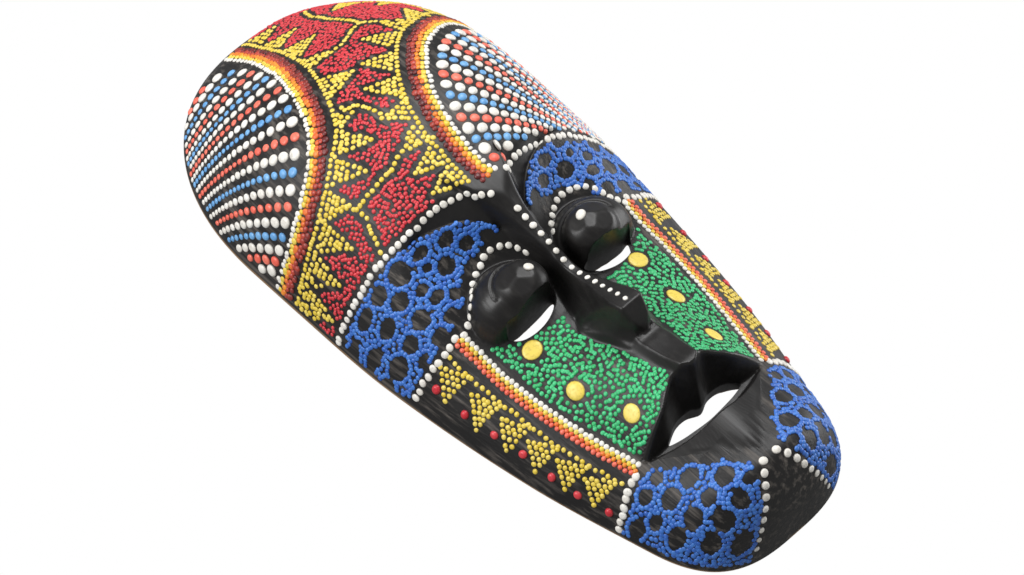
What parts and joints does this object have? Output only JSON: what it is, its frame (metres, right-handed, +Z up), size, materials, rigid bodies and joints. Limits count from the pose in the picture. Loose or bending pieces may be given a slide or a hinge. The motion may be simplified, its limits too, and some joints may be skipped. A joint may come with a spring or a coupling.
{
  "type": "carved wall mask",
  "caption": "Long carved wooden wall mask, hollow behind, with pierced eyes and mouth, raised paint dots over its face and a ring hanger on its back.",
  "frame": {"origin": "middle of the hanger's ring axis, on the plane of the flat back rim", "axes": "+Z up to the crown, -Y out of the carved face, +X to the right of someone facing the mask"},
  "size_m": [0.1356, 0.0621, 0.2994],
  "materials": {
    "black_wood": "semi-gloss black paint over carved light wood",
    "zinc_steel": "zinc plated",
    "ring_steel": "zinc plated wire",
    "white_paint": "raised acrylic paint, satin",
    "yellow_paint": "raised acrylic paint, satin",
    "orange_paint": "raised acrylic paint, satin",
    "red_paint": "raised acrylic paint, satin",
    "coral_paint": "raised acrylic paint, satin",
    "maroon_paint": "raised acrylic paint, satin",
    "blue_paint": "raised acrylic paint, satin",
    "sky_paint": "raised acrylic paint, satin",
    "green_paint": "raised acrylic paint, satin"
  },
  "bodies": {
    "mask": {"wooden_shell": "black_wood", "hanger_strap": "zinc_steel", "hanger_screw": "zinc_steel", "forehead_rows": "yellow_paint", "forehead_teeth": "yellow_paint", "forehead_stipple": "red_paint", "nose_row": "white_paint", "fan_white_left": "white_paint", "fan_red_left": "coral_paint", "fan_blue_left": "sky_paint", "arch_white_left": "white_paint", "arch_yellow_left": "yellow_paint", "arch_orange_left": "orange_paint", "arch_maroon_left": "maroon_paint", "brow_row_left": "white_paint", "brow_net_left": "blue_paint", "eye_ring_left": "white_paint", "pupil_left": "white_paint", "cheek_green_left": "green_paint", "cheek_spots_left": "yellow_paint", "cheek_white_left": "white_paint", "cheek_yellow_left": "yellow_paint", "cheek_orange_left": "orange_paint", "cheek_red_left": "coral_paint", "side_teeth_left": "yellow_paint", "side_beads_left": "red_paint", "temple_row_left": "white_paint", "jaw_row_left": "white_paint", "jaw_net_left": "blue_paint", "chin_row_left": "white_paint", "fan_white_right": "white_paint", "fan_red_right": "coral_paint", "fan_blue_right": "sky_paint", "arch_white_right": "white_paint", "arch_yellow_right": "yellow_paint", "arch_orange_right": "orange_paint", "arch_maroon_right": "maroon_paint", "brow_row_right": "white_paint", "brow_net_right": "blue_paint", "eye_ring_right": "white_paint", "pupil_right": "white_paint", "cheek_green_right": "green_paint", "cheek_spots_right": "yellow_paint", "cheek_white_right": "white_paint", "cheek_yellow_right": "yellow_paint", "cheek_orange_right": "orange_paint", "cheek_red_right": "coral_paint", "side_teeth_right": "yellow_paint", "side_beads_right": "red_paint", "temple_row_right": "white_paint", "jaw_row_right": "white_paint", "jaw_net_right": "blue_paint", "chin_row_right": "white_paint"},
    "ring": {"hanger_ring": "ring_steel"}
  },
  "joints": [
    {"name": "ring_swing", "type": "hinge", "parent": "mask", "child": "ring", "pos_m": [0, -0.0033, 0], "axis": [1, 0, 0], "range_deg": [0, 180]}
  ]
}
